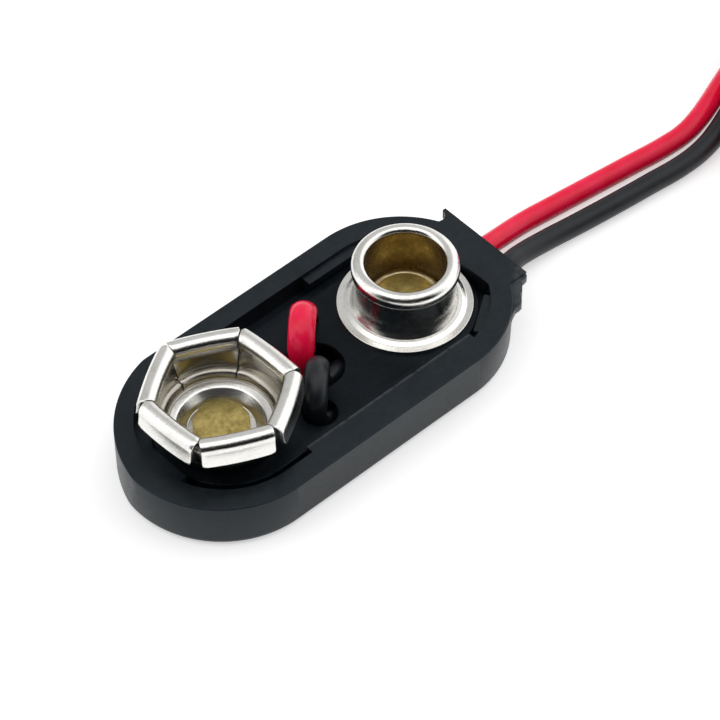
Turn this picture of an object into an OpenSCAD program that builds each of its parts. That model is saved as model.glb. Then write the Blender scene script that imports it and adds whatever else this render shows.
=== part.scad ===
// Snap connector for a 9 V battery: a moulded shell, a carrier plate with two plated
// contacts riveted to it, and a red and a black lead that leave at the stud's end.
// Millimetres. The origin lies on the shell's back, midway between the contacts.
// +X runs towards the stud and the leads, +Z is the way the contacts face.

/* [Contacts] */
// Distance between the centres of the socket and the stud
contact_pitch = 12.7; // [12:0.1:13.6]
// Height of the socket above the carrier plate
socket_h = 3.4; // [3:0.05:4]
// Height of the stud above the carrier plate
stud_h = 3.35; // [3:0.05:4]
// Thickness of the plated sheet
sheet_t = 0.2; // [0.15:0.01:0.25]

/* [Stud] */
// Outer diameter of the rolled lip
stud_lip_d = 5.68; // [5.6:0.02:5.8]
// Diameter of the stud's mouth
stud_mouth_d = 4.4; // [4.2:0.05:4.6]
// Radius of the lip's outer edge
stud_lip_r = 0.45; // [0.35:0.01:0.5]
// Diameter of the neck below the lip
stud_neck_d = 5.2; // [5:0.05:5.4]
// Diameter of the neck's flared foot
stud_foot_d = 5.66; // [5.5:0.02:5.8]
// Height of the neck's flared foot
stud_foot_h = 0.8; // [0.5:0.05:1.2]
// Height of the straight land on the lip
stud_land = 0.2; // [0.1:0.05:0.4]
// Diameter of the flange that lies on the plate
stud_flange_d = 7.2; // [6.8:0.1:7.6]
// Diameter of the raised step on the flange
stud_step_d = 6.16; // [6:0.02:6.4]
// Height of the raised step
stud_step_h = 0.1; // [0.05:0.01:0.2]

/* [Socket] */
// Distance between the ridges of two opposite petals
socket_ridge_af = 6.65; // [6.4:0.05:6.9]
// Outer diameter of a petal's roll
roll_d = 1; // [0.9:0.05:1.1]
// Direction of the first petal
socket_turn = 3; // [0:0.5:4]
// Width of a petal
petal_w = 3.6; // [3.4:0.05:3.8]
// Height of a petal's outer face, from the ridge down
petal_drop = 1.75; // [1.4:0.05:2.2]
// How far the outer face leans out
petal_lean = 0.15; // [0.05:0.01:0.25]
// Width of the slit between the petals' inner faces
petal_slit = 0.12; // [0.08:0.01:0.3]
// How far a petal's foot stands outside its waist
petal_flare = 0.25; // [0.15:0.01:0.3]
// Diameter of the shoulder round the dish
dish_d = 5.2; // [4.9:0.05:5.3]
// Diameter of the dish's floor
dish_floor_d = 3.9; // [3.6:0.05:4.2]
// Depth of the dish
dish_depth = 0.35; // [0.25:0.05:0.5]

/* [Rivets] */
// Diameter of the head in the socket
socket_head_d = 2.95; // [2.6:0.05:3.2]
// Diameter of the head in the stud
stud_head_d = 3.2; // [2.8:0.05:3.6]
// Thickness of the head in the socket
socket_head_t = 0.45; // [0.3:0.05:0.6]
// Thickness of the head in the stud
stud_head_t = 0.6; // [0.4:0.05:0.8]
// Bevel round a head
rivet_bevel = 0.12; // [0.05:0.01:0.2]
// Diameter of the shank
rivet_shank_d = 1.5; // [1.2:0.05:1.8]
// Diameter of the closed tail
rivet_tail_d = 2.2; // [2:0.05:2.5]
// Height of the closed tail
rivet_tail_t = 0.9; // [0.8:0.05:1]
// Clearance round a shank
rivet_clear = 0.03; // [0.02:0.01:0.06]

/* [Shell] */
// Width of the shell over its rim
shell_w = 11.7; // [11.2:0.1:12.6]
// How far the round ends reach past the contacts' centres
shell_end = 5.675; // [5.4:0.025:6.2]
// How far the shell sits towards the socket's end
shell_shift = 0.1; // [0:0.05:0.2]
// Thickness of the back
floor_t = 0.5; // [0.4:0.05:0.8]
// Width of the rim along the sides
rim_w = 1.2; // [1:0.05:1.4]
// How far the opening reaches past the socket's centre
opening_end = 4.4; // [4.2:0.05:4.6]
// How far each side leans in from the rim to the back
shell_draft = 0.15; // [0:0.01:0.3]
// Radius of the edge round the back
back_edge_r = 0.6; // [0.3:0.05:0.8]
// Bevel on the rim's outer edge
rim_bevel = 0.1; // [0.05:0.01:0.2]
// Radius of the trimmed corner beside the socket
trim_r = 6.97; // [6.95:0.01:7.1]

/* [Snout] */
// How far the flat end stands past the stud's centre
snout_reach = 5.8; // [5.7:0.05:6.4]
// Width over the tips of the ears
snout_w = 6.2; // [5.6:0.1:7]
// Radius of the bite behind an ear
ear_bite_r = 0.5; // [0.3:0.05:0.6]
// Thickness of an ear's tip
ear_t = 0.2; // [0.1:0.05:0.4]
// Height of the ears
ear_h = 0.6; // [0.4:0.05:0.8]
// Width of the snout below the ears
snout_body_w = 3.8; // [3.6:0.1:4.4]
// Height of the snout's underside
snout_lift = 0.35; // [0:0.05:0.5]
// Height of the web of flash beside the near ear
web_h = 0.5; // [0.3:0.05:0.8]
// How far the web lies below the rim
web_drop = 0.1; // [0.05:0.05:0.3]

/* [Carrier plate] */
// Thickness of the plate
plate_t = 0.55; // [0.5:0.05:0.8]
// How far the plate lies below the rim
plate_drop = 0.65; // [0.5:0.05:0.8]
// Gap between the plate's sides and the rim
plate_gap = 0.65; // [0.4:0.05:0.8]
// How far the plate reaches past the socket's centre
plate_end = 3.52; // [3.3:0.02:3.8]
// How far the plate's stud end is cut back from round
plate_cut = 0.25; // [0.1:0.05:0.4]
// Clearance between the stud's flange and the rim's flat end
flange_clear = 0.15; // [0.1:0.05:0.3]
// Distance from the middle hole to each outer hole
hole_reach = 3.18; // [3:0.02:3.3]
// Direction of the row of holes
hole_angle = 53; // [50:1:56]
// Clearance of a lead in its outer hole
hole_clear = 0.6; // [0.4:0.05:0.8]
// Clearance of both leads in the middle hole
middle_clear = 0.7; // [0.4:0.05:0.9]

/* [Lugs] */
// Length of the lug on the near side
near_lug = 8.4; // [6:0.1:9]
// Length of the lug on the far side
far_lug = 4; // [3:0.1:5]
// How far the far lug's middle stands past the middle hole
far_lug_x = 5.3; // [5:0.1:6]
// Length of the lug at the socket's end
end_lug = 2.9; // [2:0.1:3.4]
// Length of the lug at the near corner of the stud's end
corner_lug = 2.6; // [2:0.1:3]
// Direction of that lug from the middle of the round end
corner_lug_angle = -56; // [-60:1:-52]
// How far the lugs lie below the rim
lug_drop = 0.2; // [0.1:0.05:0.35]
// Clearance between a lug and the plate
lug_clear = 0.06; // [0.04:0.01:0.12]

/* [Leads] */
// Diameter of a lead over its insulation
lead_d = 1.2; // [1:0.05:1.3]
// Gap between the leads where they leave the snout
lead_gap = 0.5; // [0.3:0.05:0.8]
// Clearance above and below a lead under the plate
lead_clear = 0.05; // [0.04:0.01:0.1]
// Height of the red loop's centre line above the plate
red_loop_rise = 1.5; // [1.2:0.05:1.8]
// Height of the black loop's centre line above the plate
black_loop_rise = 1.3; // [1.2:0.05:1.6]
// Bend radius where a lead turns up or down through the plate
turn_r = 0.7; // [0.66:0.02:0.75]
// Diameter of the bare strands
conductor_d = 0.6; // [0.4:0.05:0.7]
// Length of the bare strands under the plate
strip_len = 1.6; // [1.2:0.1:2]
// Diameter of the solder round the strands
solder_d = 1.05; // [0.9:0.05:1.1]
// Length of the solder along the strands
solder_len = 0.8; // [0.6:0.05:1]
// Length of the tinned far ends
tinned_len = 5; // [3:0.5:8]

/* [Coil tie] */
// Thickness of the strap
tie_t = 0.3; // [0.2:0.05:0.5]
// Width of the strap
tie_w = 1.6; // [1.2:0.1:2.4]

/* [Hidden] */
$fn = 64;
// Overlap that lets one cut or joint run through another
eps = 0.01;

// Heights, stacked from the back: floor, lead chamber, plate, rim
chamber_h = lead_d + 2 * lead_clear;
ledge_z = floor_t + chamber_h;
plate_top = ledge_z + plate_t;
rim_top = plate_top + plate_drop;
lug_top = rim_top - lug_drop;
lead_z = floor_t + lead_clear + lead_d / 2;
contact_top = plate_top + socket_h;
shelf_z = plate_top + dish_depth;
tail_z = ledge_z - rivet_tail_t;

// Places along the shell
socket_x = -contact_pitch / 2;
stud_x = contact_pitch / 2;
snout_x = stud_x + snout_reach;
shell_len = contact_pitch + 2 * shell_end;
shell_span = shell_len - shell_w;
opening_w = shell_w - 2 * rim_w;
opening_flat = stud_x + stud_flange_d / 2 + flange_clear;
web_points = [[12.06, -3.23], [11.6, -3.3], [11.35, -3.62], [10.91, -3.92], [10.66, -4.3], [10.33, -4.47],
    [9.88, -4.56], [9.5, -4.75]];
trim_centre = [-5.24, -1];

// The carrier plate: round ends, the stud's cut back flat
plate_w = opening_w - 2 * plate_gap;
plate_flat = opening_flat - flange_clear;
plate_len = plate_flat + plate_cut - socket_x + plate_end;
plate_mid_x = (plate_flat + plate_cut + socket_x - plate_end) / 2;
plate_round_x = plate_flat + plate_cut - plate_w / 2;

// Contacts and rivets
rivet_hole_r = rivet_shank_d / 2 + rivet_clear;
petal_foot_a = (socket_ridge_af - roll_d) / 2 + petal_flare;
petal_waist_drop = 0.5;
roll_wrap = 45;
shoulder_r = 0.1;

// Lead holes, and where each lead stands in them
lead_r = lead_d / 2;
hole_d = lead_d + hole_clear;
middle_d = 2 * lead_d + middle_clear;
hole_row = hole_reach * [cos(hole_angle), sin(hole_angle)];
lead_lean = 0.43 * hole_clear * [-0.739, 0.673];
lead_spread = lead_r + 0.07;
red_up = hole_row + lead_lean;
red_down = lead_lean + [0, lead_spread];
black_up = lead_lean - hole_row;
black_down = lead_lean - [0, lead_spread];

// Under the plate the leads pass the stud's rivet on both sides, then leave side by side
lead_y = (lead_d + lead_gap) / 2;
pass_clear = 0.55;
pass_y = rivet_tail_d / 2 + lead_r + pass_clear;
pass_x = stud_x + 0.95;
turn_in_x = stud_x + 2.35;
run_bend_r = 1.2;
chamber_side = 0.3;
chamber_w = 2 * (red_up.y + lead_r + chamber_side);
chamber_end = 3.25;
bore_r = lead_r + lead_clear / 2;
joint_gap = 0.02;
strip_reach = rivet_tail_d / 2 + joint_gap + strip_len;
red_strip = [socket_x, 0] + strip_reach * unit(red_down - [socket_x, 0]);
black_strip = [stud_x, 0] + strip_reach * unit(black_down - [stud_x, 0]);

// The free leads' routes, from the snout to where they run into the coil
red_points = [[14, 0.95, 0.95], [16, 1.05, 0.7], [18, 0.9, 0.6], [20.5, 0.6, 0.6], [23, 0.3, 0.6],
    [25.85, -0.03, 0.6], [27.24, -0.08, 0.66], [28.35, 0.057, 0.8], [29.56, 0.392, 0.9]];
black_points = [[14, -0.7, 0.95], [16, -0.7, 0.7], [18, -0.9, 0.6], [20.5, -1.2, 0.6], [23, -1.45, 0.6],
    [25.65, -1.67, 0.6], [27.32, -1.58, 0.66], [28.61, -1.3, 0.8]];
lead_sides = 8;
inner_sides = 12;
bend_step = 30;

// The coil: both leads side by side, red in the outer column
coil_heading = 20;
coil_run_in = 6.2;
coil_pitch = lead_d + 0.05;
coil_column = lead_d + 0.1;
coil_skin = 0.05;
red_coil_r = 7.65;
black_coil_r = red_coil_r - coil_column;
red_last_turn = 60;
black_last_turn = 200;
tie_turn = 40;
tie_clear = 0.1;
coil_right = [sin(coil_heading), -cos(coil_heading)];
coil_ahead = [cos(coil_heading), sin(coil_heading)];
red_entry = red_points[len(red_points) - 1];
black_entry = red_entry + coil_column * [coil_right.x, coil_right.y, 0];
coil_centre = [red_entry.x, red_entry.y] + coil_run_in * coil_ahead + red_coil_r * coil_right;
coil_in_r = black_coil_r - lead_r - coil_skin;
coil_out_r = red_coil_r + lead_r + coil_skin;
coil_full_h = coil_pitch + lead_d;
coil_top = tie_t + 2 * coil_pitch + lead_d;
last_turn_z = coil_top - lead_r;

function unit(v) = v / norm(v);
function turn_angle(a, b) = acos(min(1, a * b));
function flat(v, z) = [v.x, v.y, z];

// An outline with straight sides and round ends
module stadium(length, width) {
    square([length - width, width], center = true);
    for (end = [-1, 1]) translate([end * (length - width) / 2, 0]) circle(d = width);
}

// A half profile carried round both ends of a straight span along X
module oblong(span) {
    for (end = [0, 180]) rotate(end) translate([span / 2, 0, 0]) rotate(-90) rotate_extrude(angle = 180) children();
    rotate([90, 0, 90]) linear_extrude(span, center = true) {
        children();
        mirror([1, 0]) children();
    }
}

// A straight rod from a point along a direction
module rod(start, along, length, radius) {
    translate(start) rotate([0, acos(along.z), atan2(along.y, along.x)]) cylinder(r = radius, h = length);
}

// Points of a bend of a given radius at b, on the way from a to c
function bend(a, b, c, r) = let (way = unit(b - a), next = unit(c - b), turn = turn_angle(way, next),
    inward = unit(next - (next * way) * way), start = b - r * tan(turn / 2) * way, steps = ceil(turn / bend_step))
    [for (k = [0 : steps]) let (t = turn * k / steps) start + r * sin(t) * way + r * (1 - cos(t)) * inward];

// A path through the given points, bent to the given radius at each
function bent(points, bends) = let (last = len(points) - 1,
    all = [for (i = [0 : last]) each i == 0 || i == last ? [points[i]]
        : bend(points[i - 1], points[i], points[i + 1], bends[i])])
    [for (i = [0 : len(all) - 1]) if (i == 0 || norm(all[i] - all[i - 1]) > 0.02) all[i]];

// A tube of few sides swept along a list of points
module tube(points, first_way, last_way, sides) {
    last = len(points) - 1;
    ways = [for (i = [0 : last]) i == 0 ? first_way : i == last ? last_way : unit(points[i + 1] - points[i - 1])];
    start = cross(first_way, [0, 0, 1]);
    lefts = [for (i = 0, left = start; i <= last; i = i + 1,
        left = i > last ? left : unit(left - (left * ways[i]) * ways[i])) left];
    rings = [for (i = [0 : last], k = [0 : sides - 1])
        let (a = (k + 0.5) * 360 / sides, up = cross(lefts[i], ways[i]))
            points[i] + lead_r * (cos(a) * lefts[i] + sin(a) * up)];
    skin = [for (i = [0 : last - 1], k = [0 : sides - 1]) let (a = i * sides + k, b = i * sides + (k + 1) % sides)
        each [[a, b, b + sides], [a, b + sides, a + sides]]];
    caps = [[for (k = [sides - 1 : -1 : 0]) k], [for (k = [0 : sides - 1]) last * sides + k]];
    polyhedron(rings, concat(skin, caps));
}

// Half section of the shell's outside, with the wall's draft and the rounded back edge
module shell_profile() {
    half_w = shell_w / 2;
    wall_top = rim_top - rim_bevel;
    edge_x = half_w - shell_draft * (1 - back_edge_r / wall_top) - back_edge_r;
    difference() {
        polygon([[0, 0], [half_w - shell_draft, 0], [half_w, wall_top], [half_w - rim_bevel, rim_top], [0, rim_top]]);
        translate([edge_x, 0]) difference() {
            translate([0, -eps]) square(back_edge_r + eps);
            translate([0, back_edge_r]) circle(back_edge_r);
        }
    }
}

// The opening that the carrier plate lies in, flat behind the snout
module opening_outline() {
    intersection() {
        stadium(contact_pitch + 2 * opening_end, opening_w);
        translate([opening_flat - shell_len, -shell_w / 2]) square([shell_len, shell_w]);
    }
}

// Straight-ended snout: a body round the leads, and above it two ears, the far one with a bite behind it
module snout() {
    translate([stud_x, -snout_body_w / 2, snout_lift]) cube([snout_reach, snout_body_w, rim_top - snout_lift - ear_h / 2]);
    translate([0, 0, rim_top - ear_h]) linear_extrude(ear_h) difference() {
        translate([stud_x, -snout_w / 2]) square([snout_reach, snout_w]);
        translate([snout_x - ear_t - ear_bite_r, snout_w / 2]) circle(ear_bite_r);
    }
}

// Ragged web of flash along the round end beside the near ear
module flash_web() {
    translate([0, 0, rim_top - web_drop - web_h]) linear_extrude(web_h)
        polygon(concat([[stud_x, 0], [snout_x - ear_t, -snout_w / 4]], web_points));
}

// What was trimmed off the round end beside the socket
module end_trim() {
    translate([0, 0, -eps]) linear_extrude(rim_top + 2 * eps) difference() {
        translate([-shell_len, -eps]) square([shell_len + socket_x, shell_w]);
        translate(trim_centre) circle(trim_r, $fn = 128);
    }
}

// Retaining lugs that stand between the rim and the plate's edge
module lugs() {
    lug_h = lug_top - ledge_z + eps;
    lug_w = plate_gap - lug_clear + eps;
    edge_y = plate_w / 2 + lug_clear;
    translate([0, 0, ledge_z - eps]) {
        translate([-near_lug / 2, -edge_y - lug_w, 0]) cube([near_lug, lug_w, lug_h]);
        translate([far_lug_x - far_lug / 2, edge_y, 0]) cube([far_lug, lug_w, lug_h]);
        translate([plate_round_x, 0, 0]) rotate(corner_lug_angle) translate([edge_y, -corner_lug / 2, 0])
            cube([lug_w, corner_lug, lug_h]);
        translate([socket_x - opening_end - eps, -end_lug / 2, 0])
            cube([opening_end - plate_end - lug_clear + eps, end_lug, lug_h]);
    }
}

module shell() {
    color("#24272b") {
        difference() {
            union() {
                translate([-shell_shift, 0, 0]) oblong(shell_span) shell_profile();
                snout();
                flash_web();
            }
            translate([0, 0, ledge_z]) linear_extrude(rim_top) opening_outline();
            translate([0, 0, floor_t]) linear_extrude(rim_top) stadium(contact_pitch + 2 * chamber_end, chamber_w);
            for (side = [-1, 1]) rod([turn_in_x, side * lead_y, lead_z], [1, 0, 0], shell_len, bore_r);
            end_trim();
        }
        lugs();
    }
}

module carrier_plate() {
    color("#1d2024") translate([0, 0, ledge_z]) linear_extrude(plate_t) difference() {
        intersection() {
            translate([plate_mid_x, 0]) stadium(plate_len, plate_w);
            translate([plate_flat - plate_len, -plate_w]) square([plate_len, 2 * plate_w]);
        }
        for (x = [socket_x, stud_x]) translate([x, 0]) circle(rivet_hole_r);
        for (side = [-1, 1]) translate(side * hole_row) circle(d = hole_d);
        circle(d = middle_d);
    }
}

// Section of a petal: foot, inner face, roll and outer face
module petal_profile() {
    ridge_a = socket_ridge_af / 2;
    roll_r = roll_d / 2;
    roll_z = contact_top - roll_r;
    waist_z = roll_z - petal_waist_drop;
    heel_z = shelf_z + sheet_t / 4;
    roll_end = -[cos(roll_wrap), sin(roll_wrap)];
    polygon([[petal_foot_a, heel_z], [petal_foot_a + sheet_t, heel_z], [petal_foot_a + sheet_t, waist_z],
        [ridge_a, roll_z] + (roll_r - sheet_t) * roll_end, [ridge_a, roll_z] + roll_r * roll_end,
        [petal_foot_a, waist_z]]);
    translate([ridge_a, roll_z]) intersection() {
        difference() {
            circle(roll_r);
            circle(roll_r - sheet_t);
        }
        polygon([[0, 0], for (a = [-6, 60, 120, 180, 186 + roll_wrap]) roll_d * [cos(a), sin(a)]]);
    }
    translate([ridge_a + roll_r - sheet_t, roll_z]) polygon([[0, 0], [sheet_t, 0],
        [sheet_t + petal_lean, roll_r - petal_drop], [petal_lean, roll_r - petal_drop]]);
}

module socket_contact() {
    floor_r = dish_floor_d / 2;
    dish_r = dish_d / 2;
    floor_z = plate_top + sheet_t;
    sector = socket_ridge_af + roll_d;
    color("#d6d4ce") translate([socket_x, 0, 0]) {
        rotate_extrude() polygon([[rivet_hole_r, plate_top], [floor_r, plate_top], [dish_r, shelf_z],
            [dish_r + sheet_t, shelf_z], [dish_r + sheet_t, shelf_z + sheet_t], [dish_r, shelf_z + sheet_t],
            [floor_r, floor_z], [rivet_hole_r, floor_z]]);
        rotate_extrude() translate([dish_r, shelf_z + sheet_t - shoulder_r / 2]) circle(shoulder_r);
        translate([0, 0, shelf_z]) linear_extrude(sheet_t) difference() {
            rotate(30 + socket_turn) circle((petal_foot_a + sheet_t / 2) / cos(30), $fn = 6);
            circle(dish_r + sheet_t / 2);
        }
        for (a = [0 : 60 : 300]) rotate(a + socket_turn) intersection() {
            rotate([90, 0, 0]) linear_extrude(petal_w, center = true) petal_profile();
            linear_extrude(contact_top + eps) polygon([[petal_slit, 0], petal_slit * [1, 0] + sector * [cos(30), sin(30)],
                petal_slit * [1, 0] + sector * [cos(30), -sin(30)]]);
        }
    }
}

// Half section of the stud: folded wall, rolled lip, bottom, flared foot, flange with its step
module stud_profile() {
    mouth_r = stud_mouth_d / 2;
    neck_r = stud_neck_d / 2;
    lip_r = stud_lip_d / 2;
    crest_r = lip_r - stud_lip_r;
    mouth_round = crest_r - mouth_r;
    curl_r = lip_r - neck_r;
    top = plate_top + stud_h;
    round_z = top - stud_lip_r;
    land_z = round_z - stud_land;
    step_z = plate_top + sheet_t + stud_step_h;
    translate([rivet_hole_r, plate_top]) square([stud_flange_d / 2 - rivet_hole_r, sheet_t]);
    translate([mouth_r, plate_top]) square([neck_r - mouth_r, stud_h - stud_lip_r]);
    translate([mouth_r, land_z]) square([lip_r - mouth_r, stud_land]);
    translate([neck_r, land_z]) intersection() {
        circle(curl_r);
        translate([0, -curl_r]) square(curl_r + eps);
    }
    translate([crest_r, round_z]) intersection() {
        circle(stud_lip_r);
        translate([0, -eps]) square(stud_lip_r + eps);
    }
    translate([mouth_r, round_z - eps]) square([mouth_round + eps, stud_lip_r - mouth_round + eps]);
    translate([crest_r, top - mouth_round]) intersection() {
        circle(mouth_round);
        translate([-mouth_round, -eps]) square(mouth_round + eps);
    }
    polygon([[mouth_r, plate_top], [stud_step_d / 2, plate_top], [stud_step_d / 2, step_z], [stud_foot_d / 2, step_z],
        [neck_r, step_z + stud_foot_h], [mouth_r, step_z + stud_foot_h]]);
}

module stud_contact() {
    color("#d6d4ce") translate([stud_x, 0, 0]) rotate_extrude() stud_profile();
}

// Rivet through contact and plate: bevelled head above, closed tail below
module rivet(head_d, head_t) {
    head_r = head_d / 2;
    head_z = plate_top + sheet_t;
    tail_r = rivet_tail_d / 2;
    shank_r = rivet_shank_d / 2;
    rotate_extrude() polygon([[0, tail_z], [tail_r - rivet_bevel, tail_z], [tail_r, tail_z + rivet_bevel],
        [tail_r, ledge_z], [shank_r, ledge_z], [shank_r, head_z], [head_r, head_z],
        [head_r, head_z + head_t - rivet_bevel], [head_r - rivet_bevel, head_z + head_t], [0, head_z + head_t]]);
}

module socket_rivet() {
    color("#a58d45") translate([socket_x, 0, 0]) rivet(socket_head_d, socket_head_t);
}

module stud_rivet() {
    color("#a58d45") translate([stud_x, 0, 0]) rivet(stud_head_d, stud_head_t);
}

// Lead from the snout under the plate, up its outer hole, over in a loop and down the middle hole
module inner_lead(side, up, down, strip_end, rise) {
    loop_r = norm(up - down) / 2;
    loop_z = plate_top + rise;
    route = bent([[snout_x, side * lead_y, lead_z], [turn_in_x, side * lead_y, lead_z],
        [pass_x, side * pass_y, lead_z], flat(up, lead_z), flat(up, loop_z), flat(down, loop_z),
        flat(down, lead_z), flat(strip_end, lead_z)],
        [0, run_bend_r, run_bend_r, turn_r, loop_r, loop_r, turn_r, 0]);
    tube(route, [-1, 0, 0], unit(flat(strip_end - down, 0)), inner_sides);
}

module red_inner_lead() {
    color("#c8203c") inner_lead(1, red_up, red_down, red_strip, red_loop_rise);
}

module black_inner_lead() {
    color("#2b2f33") inner_lead(-1, black_up, black_down, black_strip, black_loop_rise);
}

// Bare strands from the end of the insulation to a rivet's tail
module conductor(rivet_at, strip_end) {
    rod(flat(strip_end, lead_z), unit(flat(rivet_at - strip_end, 0)), strip_len, conductor_d / 2);
}

module red_conductor() {
    color("#c9c6c0") conductor([socket_x, 0], red_strip);
}

module black_conductor() {
    color("#c9c6c0") conductor([stud_x, 0], black_strip);
}

// Solder round the strands, up against a rivet's tail
module solder(rivet_at, strip_end) {
    back = unit(flat(strip_end - rivet_at, 0));
    difference() {
        rod(flat(rivet_at, lead_z), back, rivet_tail_d / 2 + solder_len, solder_d / 2);
        translate(rivet_at) cylinder(d = rivet_tail_d, h = rim_top);
        rod(flat(rivet_at, lead_z), back, strip_len + rivet_tail_d, conductor_d / 2);
    }
}

module socket_solder() {
    color("#b9bcc0") solder([socket_x, 0], red_strip);
}

module stud_solder() {
    color("#b9bcc0") solder([stud_x, 0], black_strip);
}

module red_lead() {
    color("#c8203c") tube(concat([[snout_x, lead_y, lead_z]], red_points), [1, 0, 0], flat(coil_ahead, 0), lead_sides);
}

module black_lead() {
    color("#2b2f33") tube(concat([[snout_x, -lead_y, lead_z]], black_points, [black_entry]), [1, 0, 0],
        flat(coil_ahead, 0), lead_sides);
}

// Both leads wound side by side: two full turns and the part of a third that each ends on
module lead_coil() {
    color("#6a2a34") translate(coil_centre) rotate(coil_heading) {
        translate([0, 0, tie_t]) rotate_extrude() translate([coil_in_r, 0]) square([coil_out_r - coil_in_r, coil_full_h]);
        for (turn = [[red_coil_r, red_last_turn], [black_coil_r, black_last_turn]]) {
            rotate(90 - turn[1]) rotate_extrude(angle = turn[1]) translate([turn[0] - lead_r, tie_t + coil_full_h - eps])
                square([lead_d, coil_top - tie_t - coil_full_h + eps]);
            rod([-coil_run_in, turn[0], tie_t + lead_r], [1, 0, 0], coil_run_in, lead_r);
        }
    }
}

// Straight tinned end that leaves the coil where a lead's last turn stops
module tinned_end(radius, turn) {
    color("#c9c6c0") translate(coil_centre) rotate(coil_heading - turn)
        rod([0, radius, last_turn_z], [1, 0, 0], tinned_len, conductor_d / 2);
}

module red_tinned_end() {
    tinned_end(red_coil_r, red_last_turn);
}

module black_tinned_end() {
    tinned_end(black_coil_r, black_last_turn);
}

// Strap round the coil's section
module coil_tie() {
    inside = [coil_out_r - coil_in_r + 2 * tie_clear, coil_top - tie_t + tie_clear];
    color("#e8e8e4") translate(coil_centre) rotate(coil_heading + 90 - tie_turn)
        translate([coil_in_r - tie_clear, 0, 0]) rotate([90, 0, 0]) linear_extrude(tie_w, center = true) difference() {
            translate([-tie_t, 0]) square(inside + 2 * [tie_t, tie_t]);
            translate([0, tie_t]) square(inside);
        }
}

shell();
carrier_plate();
socket_contact();
stud_contact();
socket_rivet();
stud_rivet();
red_inner_lead();
black_inner_lead();
red_conductor();
black_conductor();
socket_solder();
stud_solder();
red_lead();
black_lead();
lead_coil();
red_tinned_end();
black_tinned_end();
coil_tie();
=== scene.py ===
import math
import random
import bmesh
import bpy
from mathutils import Matrix, Vector


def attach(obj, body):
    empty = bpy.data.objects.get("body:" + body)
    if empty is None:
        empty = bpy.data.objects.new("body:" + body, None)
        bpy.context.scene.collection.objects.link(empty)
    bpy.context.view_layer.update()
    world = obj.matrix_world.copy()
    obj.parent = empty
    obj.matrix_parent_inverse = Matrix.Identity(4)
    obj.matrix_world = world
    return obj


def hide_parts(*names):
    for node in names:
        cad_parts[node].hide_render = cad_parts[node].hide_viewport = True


mm = 0.001
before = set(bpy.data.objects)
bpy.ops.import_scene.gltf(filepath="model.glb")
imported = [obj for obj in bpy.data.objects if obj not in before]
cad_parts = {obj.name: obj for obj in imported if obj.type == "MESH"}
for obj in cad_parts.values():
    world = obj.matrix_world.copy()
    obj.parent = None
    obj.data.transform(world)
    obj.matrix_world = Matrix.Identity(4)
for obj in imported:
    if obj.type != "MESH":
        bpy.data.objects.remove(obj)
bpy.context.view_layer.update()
scene = bpy.context.scene
scene.view_settings.view_transform = "Standard"
print("frame loaded with", len(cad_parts), "nodes")

cameraView = {
    "azimuth": -0.7386,  # radians, read off the photo
    "elevation": 0.8556,
    "roll": -0.0021,
    "distance": 195.662,  # mm from the point looked at
    "lookAt": (0.7953, -2.5976, 4.35),
    "pixels": 3843.55,  # focal length in pixels of the frame
    "frame": 720,
    "sensor": 36,
}


def makeCamera(cfg):
    az, el, roll = cfg["azimuth"], cfg["elevation"], cfg["roll"]
    back = Vector((math.sin(az) * math.cos(el), -math.cos(az) * math.cos(el), math.sin(el)))
    right = Vector((math.cos(az), math.sin(az), 0))
    up = back.cross(right)
    right, up = math.cos(roll) * right + math.sin(roll) * up, math.cos(roll) * up - math.sin(roll) * right
    data = bpy.data.cameras.new("camera")
    data.sensor_width = cfg["sensor"]
    data.lens = cfg["pixels"] / cfg["frame"] * cfg["sensor"]
    data.clip_start = 0.01
    camera = bpy.data.objects.new("camera", data)
    place = (Vector(cfg["lookAt"]) + back * cfg["distance"]) * mm
    turn = Matrix((right, up, back)).transposed().to_4x4()
    camera.matrix_world = Matrix.Translation(place) @ turn
    scene.collection.objects.link(camera)
    scene.camera = camera
    return back


towardCamera = makeCamera(cameraView)
print("camera set")

# shader sums in plain Python


def feed(tree, socket, value):
    if isinstance(value, Wire):
        tree.links.new(value.socket, socket)
    elif isinstance(value, list):  # several links into one socket
        for one in value:
            feed(tree, socket, one)
    elif isinstance(value, tuple) and len(value) < len(socket.default_value):
        socket.default_value = (*value, 1)
    else:
        socket.default_value = value


class Wire:
    def __init__(self, tree, socket):
        self.tree = tree
        self.socket = socket

    def calc(self, operation, first, second):
        node = self.tree.nodes.new("ShaderNodeMath")
        node.operation = operation
        feed(self.tree, node.inputs[0], first)
        feed(self.tree, node.inputs[1], second)
        return Wire(self.tree, node.outputs[0])

    def __add__(self, other):
        return self.calc("ADD", self, other)

    def __radd__(self, other):
        return self.calc("ADD", other, self)

    def __sub__(self, other):
        return self.calc("SUBTRACT", self, other)

    def __rsub__(self, other):
        return self.calc("SUBTRACT", other, self)

    def __mul__(self, other):
        return self.calc("MULTIPLY", self, other)

    def __rmul__(self, other):
        return self.calc("MULTIPLY", other, self)

    def __pow__(self, other):
        return self.calc("POWER", self, other)


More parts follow.
